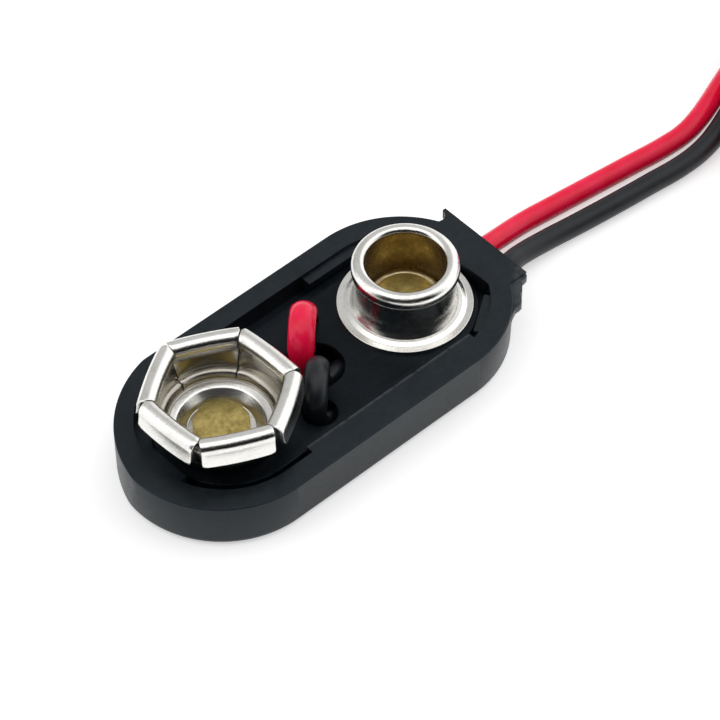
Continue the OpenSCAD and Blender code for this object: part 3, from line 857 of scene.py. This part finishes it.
def makeShell(cfg):
    wall = cfg["rimZ"] - cfg["rimR"]
    levels = []
    for k in range(7):
        a = math.radians(15 * k)
        z = cfg["backR"] * (1 - math.cos(a))
        levels.append((z, cfg["draft"] * (1 - z / wall) + cfg["backR"] * (1 - math.sin(a))))
    levels += [(z, cfg["draft"] * (1 - z / wall)) for z in (1.2, 1.8, 2.4)]
    for k in range(5):
        a = math.radians(22.5 * k)
        levels.append((wall + cfg["rimR"] * math.sin(a), cfg["rimR"] * (1 - math.cos(a))))
    shell = loft("mouldedShell", [[(x, y, z) for x, y in shellRing(cfg, inset)] for z, inset in levels])
    root, end, half, nick = cfg["studX"], cfg["snoutX"], cfg["earHalf"], cfg["nickR"]
    tip = end - cfg["earTip"]
    ears = [(root, -half), (end, -half), (end, half), (tip, half)]
    ears += arcPoints(tip - nick, half, nick, 0, -180, 16)[1:] + [(root, half)]
    combine(shell, prism("ears", ears, *cfg["earZ"]), "UNION")
    low, high = cfg["snoutZ"]
    combine(shell, box("snout", (root, -cfg["snoutHalf"], low), (end, cfg["snoutHalf"], high)), "UNION")
    flash = cfg["flashRoot"] + ragged(cfg["flashEdge"], **cfg["tear"])
    combine(shell, prism("flash", flash, *cfg["flashZ"]), "UNION")
    reach = root + cfg["openingEnd"]
    mouth = flatEnded(-reach, reach, cfg["width"] / 2 - cfg["rimWidth"], cfg["openingFlat"])
    combine(shell, prism("mouth", mouth, cfg["ledgeZ"], aboveAll), "DIFFERENCE")
    half = cfg["chamberHalf"]
    mid = cfg["chamberEnd"] - half
    chamber = arcPoints(mid, 0, half, -90, 90, 64) + arcPoints(-mid, 0, half, 90, 270, 64)
    combine(shell, prism("chamber", chamber, cfg["floorZ"], aboveAll), "DIFFERENCE")
    bore = cfg["bore"]
    for side in (-1, 1):
        hole = prism("bore", arcPoints(side * bore["y"], bore["z"], bore["r"], 0, 360, 32)[:-1], *bore["x"])
        hole.data.transform(Matrix(((0, 0, 1, 0), (1, 0, 0, 0), (0, 1, 0, 0), (0, 0, 0, 1))))  # laid along x
        combine(shell, outward(hole), "DIFFERENCE")
    low, high = cfg["lugHighlightZ"]
    for a, b in cfg["lugs"]:
        combine(shell, box("lug", (*a, low), (*b, high)), "UNION")
    a, b = cfg["cornerLug"]
    corner = box("lug", (*a, low), (*b, high))
    turn = Matrix.Rotation(math.radians(cfg["cornerTurn"]), 4, "Z")
    corner.data.transform(Matrix.Translation((cfg["cornerX"] * mm, 0, 0)) @ turn)
    combine(shell, corner, "UNION")
    outward(shell, 2e-7, 0.4)
    shell.data.materials.clear()
    shell.data.materials.append(finishes["shell"])
    return softenEdges(shell, cfg["edge"], 2, 38)


shellPiece = fit(makeShell(shellSettings), "shell_plastic", "shell")
print("shell moulded with", len(shellPiece.data.polygons), "faces")

# the carrier plate, cut from a flat outline
plateSettings = {
    "half": 4.0,
    "left": -9.87,
    "right": 10.2,
    "flat": 9.95,
    "low": 1.8,
    "thick": 0.55,
    "edge": 0.09,
    "holes": [(1.7231, 2.7133, 0.68), (-1.9138, -2.5397, 0.9), (0, 0, 1.55),  # for the leads
              (-6.35, 0, 0.78), (6.35, 0, 0.78)],  # for the rivets
}


def makePlate(cfg):
    outline = flatEnded(cfg["left"], cfg["right"], cfg["half"], cfg["flat"])
    data = bpy.data.curves.new("plate", "CURVE")
    data.dimensions = "2D"
    data.fill_mode = "BOTH"
    data.extrude = (cfg["thick"] / 2 - cfg["edge"]) * mm
    data.bevel_depth = cfg["edge"] * mm
    data.bevel_resolution = 2
    data.offset = -cfg["edge"] * mm
    loops = [outline] + [arcPoints(x, y, r, 0, 360, 72)[:-1] for x, y, r in cfg["holes"]]
    for loop in loops:
        line = data.splines.new("POLY")
        line.points.add(len(loop) - 1)
        line.use_cyclic_u = True
        for knot, (x, y) in zip(line.points, loop):
            knot.co = (x * mm, y * mm, 0, 1)
    drawn = bpy.data.objects.new("plateOutline", data)
    scene.collection.objects.link(drawn)
    mesh = evaluatedMesh(drawn)
    bpy.data.objects.remove(drawn)
    mesh.transform(Matrix.Translation((0, 0, (cfg["low"] + cfg["thick"] / 2) * mm)))
    mesh.materials.clear()
    mesh.materials.append(finishes["plate"])
    plate = bpy.data.objects.new("carrierPlate", mesh)
    scene.collection.objects.link(plate)
    return smooth(outward(plate), 30)


fit(makePlate(plateSettings), "plate_plastic", "carrier_plate")
print("plate cut")

# the crown socket: six rolled petals round a dish
crownSettings = {
    "centre": (-6.35, 0.0),
    "petals": 6,
    "turn": 3.0,  # degrees
    "sheet": 0.2,
    "ridge": 3.325,  # from the axis to a petal's ridge
    "roll": 0.4,  # radius of the roll at the middle of the sheet
    "rollZ": 5.25,
    "wrap": 48,  # degrees the roll turns in under itself
    "drop": 4.38,  # height of the outer face's lower edge
    "lean": 0.12,
    "corner": 0.24,  # radius of its lower corners
    "faceSteps": 12,
    "tuck": 0.36,  # how far under the roll's end the sheet turns down
    "tuckR": 0.45,
    "wall": 3.16,
    "stepZ": 3.48,  # the cup steps in to a narrower collar here
    "shelf": 0.05,  # how far that step falls
    "cupR": 0.05,
    "collar": 2.85,
    "collarR": 0.3,
    "footZ": 2.8,
    "cup": 3.34,  # the round cup that the flat petals grow from
    "bendZ": (4.85, 3.68),  # between these the flat wall rounds off
    "bow": 0.09,  # how far a petal bulges at its middle
    "halfWidth": 1.89,
    "slit": 0.06,
    "notch": 0.03,  # half the gap between petals in the collar
    "across": 16,
    "uneven": 0.004,  # radians that each petal may lean
}


def wallLine(cfg):
    a = math.radians(180 + cfg["wrap"])
    x, y = cfg["ridge"] + cfg["roll"] * math.cos(a), cfg["rollZ"] + cfg["roll"] * math.sin(a)
    high = y - cfg["tuck"]
    corners = [(x, y, 0), (cfg["wall"], high, cfg["tuckR"])]
    wide, fall = cfg["cup"] - cfg["wall"], cfg["stepZ"] - high
    for share in (0.25, 0.375, 0.5, 0.625, 0.75, 0.875):
        corners.append((cfg["wall"] + wide * share, high + fall * share, 0))
    corners.append((cfg["cup"], cfg["stepZ"], cfg["cupR"]))
    corners.append((cfg["collar"], cfg["stepZ"] - cfg["shelf"], cfg["collarR"]))
    corners.append((cfg["collar"], cfg["footZ"], 0))
    return rounded(corners, 8)


def petalLine(cfg):
    # middle of the sheet, from the outer face's edge over the roll to the shelf
    roll = arcPoints(cfg["ridge"], cfg["rollZ"], cfg["roll"], 0, 180 + cfg["wrap"], 34)
    out = cfg["ridge"] + cfg["roll"]
    shares = [1 - (k / cfg["faceSteps"]) ** 1.5 for k in range(cfg["faceSteps"])]
    face = [(out + cfg["lean"] * s * s, cfg["rollZ"] + (cfg["drop"] - cfg["rollZ"]) * s) for s in shares]
    return face + roll + wallLine(cfg)[1:]


def makePetal(cfg):
    line = [Vector(p) for p in petalLine(cfg)]
    skins = ([], [])
    for i, p in enumerate(line):
        way = (line[min(i + 1, len(line) - 1)] - line[max(i - 1, 0)]).normalized()
        normal = Vector((way.y, -way.x)) * cfg["sheet"] / 2
        skins[0].append(p + normal)
        skins[1].append(p - normal)
    inner = len(line) - len(wallLine(cfg)) + 1  # from here on the sheet bends to the round collar
    ring = [(p, i) for i, p in enumerate(skins[0])] + [(p, i) for i, p in enumerate(skins[1])][::-1]
    n = len(ring)
    count = cfg["across"]
    sector = math.pi / cfg["petals"]
    verts = []
    for k in range(count + 1):
        u = 2 * k / count - 1
        for p, i in ring:
            half = min(cfg["halfWidth"], (p.x - cfg["slit"]) * math.tan(sector))
            if i < cfg["faceSteps"]:
                down = min(1, max(0, (cfg["drop"] + cfg["corner"] - p.y) / cfg["corner"]))
                half -= cfg["corner"] * (1 - math.sqrt(1 - down * down))
            flat = Vector((p.x, u * half, p.y))
            a = u * (sector - cfg["notch"] / p.x)
            bent = Vector((p.x * math.cos(a), p.x * math.sin(a), p.y))
            share = ease(*cfg["bendZ"], p.y) if i >= inner else 0
            bow = Vector((cfg["bow"] * (1 - u * u), 0, 0))
            verts.append((flat + bow).lerp(bent, share))
    faces = []
    for k in range(count):
        for i in range(n):
            j = (i + 1) % n
            faces.append((k * n + i, k * n + j, (k + 1) * n + j, (k + 1) * n + i))
    last = count * n
    for i in range(len(line) - 1):
        a, b, c, d = i, i + 1, n - 2 - i, n - 1 - i
        faces += [(a, b, c, d), (last + d, last + c, last + b, last + a)]
    petal = outward(linkMesh("crownPetals", verts, faces, [finishes["nickel"]]))
    return softenEdges(petal, 0.055, 2, 50)


def petalTree():
    b, given = nodeTree("petalRing", {
        "Geometry": "Geometry", "Petals": "Int", "Turn": "Float", "Uneven": "Float", "Centre": "Vector",
        "Finish": "Material"})
    chance = b.node("FunctionNodeRandomValue", {"data_type": "FLOAT"}, {2: -1, 3: 1, "Seed": 11}, 1)
    turn = {"X": chance * given["Uneven"], "Z": ringAngle(b, given["Petals"]) + given["Turn"]}
    copies = ringCopies(b, given["Geometry"], given["Petals"], turn)
    moved = b.node("GeometryNodeTransform", None, {"Geometry": copies, "Translation": given["Centre"]})
    return endTree(b, moved, given["Finish"])


crown = makePetal(crownSettings)
crownX, crownY = crownSettings["centre"]
runTree(crown, petalTree(), {
    "Petals": crownSettings["petals"], "Turn": math.radians(crownSettings["turn"]),
    "Uneven": crownSettings["uneven"], "Centre": (crownX * mm, crownY * mm, 0.0), "Finish": finishes["nickel"]})
fit(smooth(crown, 45), "nickel_plate", "socket_contact")
print("crown rolled with", len(crown.data.polygons), "faces")

# the dish in its foot, from the rivet hole out underneath and back over the top
dishCorners = [(0.78, 2.36, 0), (2.1, 2.36, 0.1), (2.35, 2.6, 0.1), (2.93, 2.6, 0.05), (2.93, 3.05, 0.03),
               (2.735, 3.05, 0.02), (2.735, 2.95, 0.02), (2.66, 3.03, 0.08), (2.3, 2.95, 0.25),
               (1.78, 2.4, 0.08), (0.78, 2.4, 0)]
dish = lathe("crownDish", rounded(dishCorners, 5), crownSettings["centre"], [finishes["nickel"]])
fit(dish, "nickel_plate")

# the folded stud, plated outside and bare brass inside
studSettings = {
    "centre": (6.35, 0.0),
    "plateTo": 5.53,  # the plating ends at this height in the mouth
    "outside": [(2.39, 5.7, 0.001), (2.84, 5.7, 0.45), (2.84, 4.98, 0.1), (2.56, 4.84, 0.1), (2.61, 4.2, 2.0),
                (2.71, 3.4, 1.5), (2.87, 2.7, 0.03), (3.0, 2.69, 0.1), (3.24, 2.55, 0.12), (3.6, 2.57, 0.05),
                (3.6, 2.35, 0.03), (0.78, 2.35, 0)],
    "inside": [(0.78, 2.55, 0), (2.1, 2.55, 0.3), (2.1, 5.7, 0.29), (2.39, 5.7, 0)],
}


def makeStud(cfg):
    inside = rounded(cfg["inside"], 8)
    outside = rounded(cfg["outside"], 8)
    edge = sum(1 for point in inside if point[1] < cfg["plateTo"])
    profile = inside + outside[1:]
    picks = [1 if k < edge - 1 else 0 for k in range(len(profile))]
    mats = [finishes["nickel"], finishes["brassInside"]]
    return lathe("studShell", profile, cfg["centre"], mats, picks, 192)


fit(makeStud(studSettings), "nickel_plate", "stud_contact")

# rivets: a spread head above, the closed tail under the plate
rivetSettings = {
    "tail": 1.1,
    "tailZ": (0.9, 1.8),
    "shank": 0.75,
    "seatZ": 2.55,
    "head": 1.475,
    "edgeR": 0.07,
    "domeR": 1.2,
    "tops": {"socket": (-6.35, 3.0), "stud": (6.35, 3.15)},  # place along x and height
}


def makeRivet(cfg, name, x, top):
    low, high = cfg["tailZ"]
    tail, shank, head, seat = cfg["tail"], cfg["shank"], cfg["head"], cfg["seatZ"]
    corners = [(0, low, 0), (tail, low, 0.15), (tail, high, 0.03), (shank, high, 0), (shank, seat, 0),
               (head, seat, 0.02), (head, top - 0.03, cfg["edgeR"]), (0.35 * head, top, cfg["domeR"]), (0, top, 0)]
    return lathe(name, rounded(corners), (x, 0.0), [finishes["brass"]], None, 128, False)


for name, (x, top) in rivetSettings["tops"].items():
    fit(makeRivet(rivetSettings, name + "Rivet", x, top), "brass", name + "_rivet")
print("stud and rivets turned")

# the leads' loops over the plate
loopSettings = {
    "radius": 0.6,
    "redUp": (1.7231, 2.7133),
    "redDown": (-0.1907, 0.8436),
    "blackUp": (-2.1045, -2.3661),
    "blackDown": (-0.1907, -0.4964),
    "redRise": 3.85,
    "blackRise": 3.65,
    "redWide": 1.2,  # how far the bend flattens the jacket
    "blackWide": 1.07,
    "wideZ": (2.2, 3.0),
    "stripReach": 2.72,
    "runZ": 1.15,
    "run": [(12.15, 0.85), (8.7, 0.85), (7.3, 2.25)],  # under the plate, from the snout
    "runR": 1.2,
    "riseR": 0.7,
}


def makeLoop(cfg, colour, rivetX):
    side = leadSides[colour]
    up, down = Vector(cfg[colour + "Up"]), Vector(cfg[colour + "Down"])
    z, rise = cfg["runZ"], cfg[colour + "Rise"]
    rivet = Vector((rivetX, 0))
    strip = rivet + cfg["stripReach"] * (down - rivet).normalized()
    r = (up - down).length / 2
    points = [(x, side * y, z) for x, y in cfg["run"]]
    points += [(*up, z), (*up, rise), (*down, rise), (*down, z), (*strip, z)]
    bends = [0, cfg["runR"], cfg["runR"], cfg["riseR"], r, r, cfg["riseR"], 0]
    path = spread(bentPath(points, bends, 5), 0.12)
    across = (up - down).normalized()
    flatWay = Vector((across.y, -across.x, 0))
    wide = cfg[colour + "Wide"]

    def squeeze(i, offset):
        share = ease(*cfg["wideZ"], path[i].z)
        out = offset.dot(flatWay) * flatWay
        return offset + share * ((wide - 1) * out - (wide - 1) * 0.5 * (offset - out))

    return sweep(colour + "Loop", path, cfg["radius"], squeeze, finishes[colour])


fit(makeLoop(loopSettings, "red", -6.35), "red_insulation", "red_inner_lead")
fit(makeLoop(loopSettings, "black", 6.35), "black_insulation", "black_inner_lead")
print("loops bent")

# what stays as drawn in the CAD model
for name, finish in {"red_conductor": "tinned", "black_conductor": "tinned", "socket_solder": "solder",
                     "stud_solder": "solder"}.items():
    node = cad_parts[name]
    node.data.materials.clear()
    node.data.materials.append(finishes[finish])

# pale floor and soft studio light
lightSettings = {
    "base": 0.4,
    "lobes": [  # direction in degrees, inner and outer edge, strength
        {"az": 165, "el": 14, "inner": 28, "outer": 62, "power": 0.95},
        {"az": -14, "el": 16, "inner": 26, "outer": 58, "power": 0.88},
        {"az": -132, "el": 66, "inner": 30, "outer": 52, "power": 0.95},
        {"az": 50, "el": 45, "inner": 30, "outer": 60, "power": 0.2},
    ],
    "darkSide": (0.32, 0.62),  # the unlit room on the camera's side
    "darkRise": (-0.02, 0.06),
    "darkFall": (0.77, 0.9),
    "darkKeep": 0.02,
    "floor": (0.75, 0.75, 0.75),
    "floorHalf": 800,
    "floorGlow": 0.52,
}


def makeFloor(cfg):
    f = Finish("floorPaper", {"Base Color": cfg["floor"], "Roughness": 0.9, "Specular IOR Level": 0.1,
                              "Emission Strength": 1.0})
    rays = f.outputs(f.node("ShaderNodeLightPath"), "Is Camera Ray", "Is Glossy Ray", "Is Transmission Ray")
    f.paint({"Emission Color": (rays[0] + rays[1] + rays[2]) * cfg["floorGlow"]})
    h = cfg["floorHalf"]
    floor = linkMesh("floor", [(-h, -h, 0), (h, -h, 0), (h, h, 0), (-h, h, 0)], [(0, 1, 2, 3)], [f.mat])


def makeWorld(cfg):
    world = bpy.data.worlds.new("studio")
    scene.world = world
    world.use_nodes = True
    b = Board(world.node_tree)
    way = b.node("ShaderNodeVectorMath", {"operation": "NORMALIZE"},
                 {0: b.node("ShaderNodeTexCoord", None, None, "Generated")}, "Vector")

    light = None
    for lobe in cfg["lobes"]:
        az, el = math.radians(lobe["az"]), math.radians(lobe["el"])
        direction = Vector((math.cos(az) * math.cos(el), math.sin(az) * math.cos(el), math.sin(el)))
        edges = [math.cos(math.radians(lobe[key])) for key in ("outer", "inner")]
        part = b.step(b.dot(way, direction), *edges) * lobe["power"]
        light = part + cfg["base"] if light is None else light + part
    ahead = Vector((towardCamera.x, towardCamera.y, 0)).normalized()
    height = b.node("ShaderNodeSeparateXYZ", None, {0: way}, "Z")
    level = b.dot(way, ahead) * (1 - height * height) ** -0.5
    dark = b.step(level, *cfg["darkSide"]) * b.band(height, cfg["darkRise"], cfg["darkFall"])
    light = light * (1 - dark * (1 - cfg["darkKeep"]))
    camera = b.node("ShaderNodeLightPath", None, None, "Is Camera Ray")
    light = light * (1 - camera) + camera
    feed(b.tree, b.tree.nodes["Background"].inputs["Color"], light)


makeFloor(lightSettings)
makeWorld(lightSettings)
print("studio lit")
